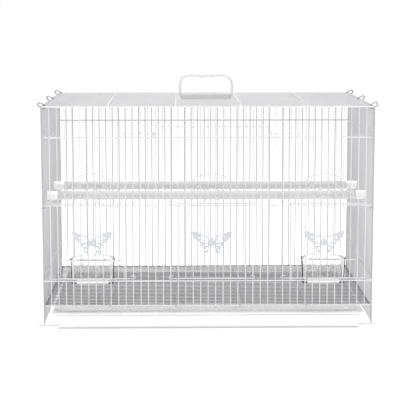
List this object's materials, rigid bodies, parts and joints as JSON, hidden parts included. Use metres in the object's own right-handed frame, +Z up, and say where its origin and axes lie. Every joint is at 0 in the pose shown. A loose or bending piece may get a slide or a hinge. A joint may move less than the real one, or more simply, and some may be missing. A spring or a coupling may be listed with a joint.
{
  "type": "bird cage",
  "caption": "Rectangular all-wire bird cage with lift-up front doors, butterfly cut-outs, hung feeder cups, perches, a pull-out tray and a fold-down carrying handle.",
  "frame": {"origin": "centre of the cage's footprint, on the surface that it stands on", "axes": "+X to the right of someone facing the doors, +Y from the doors towards the back, +Z up"},
  "size_m": [0.628, 0.4288, 0.4539],
  "materials": {
    "white_powder_coat": "satin white powder coat on steel wire",
    "pale_enamel": "satin pale bluish white enamel on sheet steel",
    "tray_plastic": "semi-gloss white plastic",
    "clear_plastic": "clear glossy plastic",
    "perch_plastic": "finely textured light grey plastic",
    "cap_plastic": "glossy white plastic",
    "handle_plastic": "glossy white plastic"
  },
  "bodies": {
    "cage": {"front_panel": "white_powder_coat", "back_panel": "white_powder_coat", "left_side_panel": "white_powder_coat", "right_side_panel": "white_powder_coat", "top_panel": "white_powder_coat", "floor_grate": "white_powder_coat", "front_foot_wire": "white_powder_coat", "rear_foot_wire": "white_powder_coat", "tray_runner_left": "white_powder_coat", "tray_runner_right": "white_powder_coat", "corner_clip_front_left": "white_powder_coat", "corner_clip_front_right": "white_powder_coat", "corner_clip_rear_left": "white_powder_coat", "corner_clip_rear_right": "white_powder_coat", "top_clip_left_front": "white_powder_coat", "top_clip_left_middle": "white_powder_coat", "top_clip_left_rear": "white_powder_coat", "top_clip_right_front": "white_powder_coat", "top_clip_right_middle": "white_powder_coat", "top_clip_right_rear": "white_powder_coat", "perch_front": "perch_plastic", "perch_rear": "perch_plastic", "perch_cap_front_left": "cap_plastic", "perch_cap_front_right": "cap_plastic", "perch_cap_rear_left": "cap_plastic", "perch_cap_rear_right": "cap_plastic", "handle_base": "handle_plastic"},
    "left_door": {"door_left": "white_powder_coat", "butterfly_left": "pale_enamel"},
    "center_door": {"door_center": "white_powder_coat", "butterfly_center": "pale_enamel"},
    "right_door": {"door_right": "white_powder_coat", "butterfly_right": "pale_enamel"},
    "left_cup": {"cup_left": "clear_plastic"},
    "right_cup": {"cup_right": "clear_plastic"},
    "pull_out_tray": {"tray": "tray_plastic"},
    "carrying_handle": {"handle": "handle_plastic"}
  },
  "joints": [
    {"name": "left_door_lift", "type": "slide", "parent": "cage", "child": "left_door", "axis": [0, 0, 1], "range_m": [0, 0.11]},
    {"name": "center_door_lift", "type": "slide", "parent": "cage", "child": "center_door", "axis": [0, 0, 1], "range_m": [0, 0.11]},
    {"name": "right_door_lift", "type": "slide", "parent": "cage", "child": "right_door", "axis": [0, 0, 1], "range_m": [0, 0.11]},
    {"name": "left_cup_lift", "type": "slide", "parent": "cage", "child": "left_cup", "axis": [0, 0, 1], "range_m": [0, 0.03]},
    {"name": "right_cup_lift", "type": "slide", "parent": "cage", "child": "right_cup", "axis": [0, 0, 1], "range_m": [0, 0.03]},
    {"name": "tray_slide", "type": "slide", "parent": "cage", "child": "pull_out_tray", "axis": [0, -1, 0], "range_m": [0, 0.36]},
    {"name": "handle_fold", "type": "hinge", "parent": "cage", "child": "carrying_handle", "pos_m": [0, 0.00906, 0.41068], "axis": [1, 0, 0], "range_deg": [-90, 90]}
  ]
}
